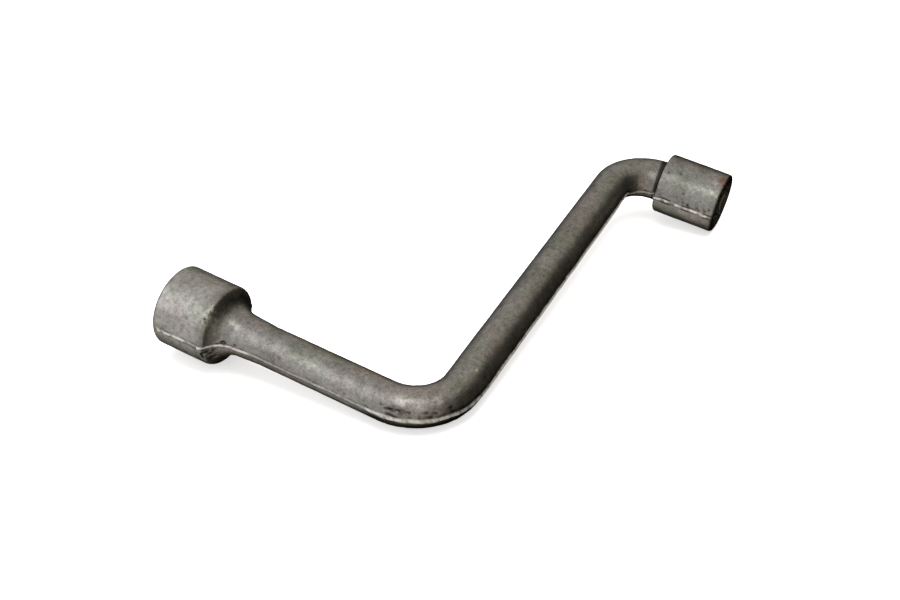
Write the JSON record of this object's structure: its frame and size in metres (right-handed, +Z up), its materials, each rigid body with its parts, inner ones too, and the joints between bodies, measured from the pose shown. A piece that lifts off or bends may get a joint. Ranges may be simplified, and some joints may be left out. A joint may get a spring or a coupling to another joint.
{
  "type": "double-ended socket wrench",
  "caption": "Forged Z-shaped wheel and chassis wrench: a round bar bent twice at about 90 degrees, with a hexagon socket at either end, facing opposite ways.",
  "frame": {"origin": "centre of the footprint on the floor: the wrench lies on its three low points, the large socket's shoulder, the outside of the first bend and the rim of the small mouth", "axes": "+Z up; +Y from the large socket's end of the long arm to the small socket's end, the longest extent; the large mouth faces -X, its axis climbing 5.5 degrees, and the small mouth faces +X, its axis dipping 9 degrees and turned 5 degrees to +Y"},
  "size_m": [0.1816, 0.267, 0.0411],
  "materials": {
    "large_socket": "matte",
    "shank": "matte",
    "small_socket": "matte"
  },
  "bodies": {
    "root": {"large_socket": "large_socket", "shank": "shank", "small_socket": "small_socket"}
  },
  "joints": []
}
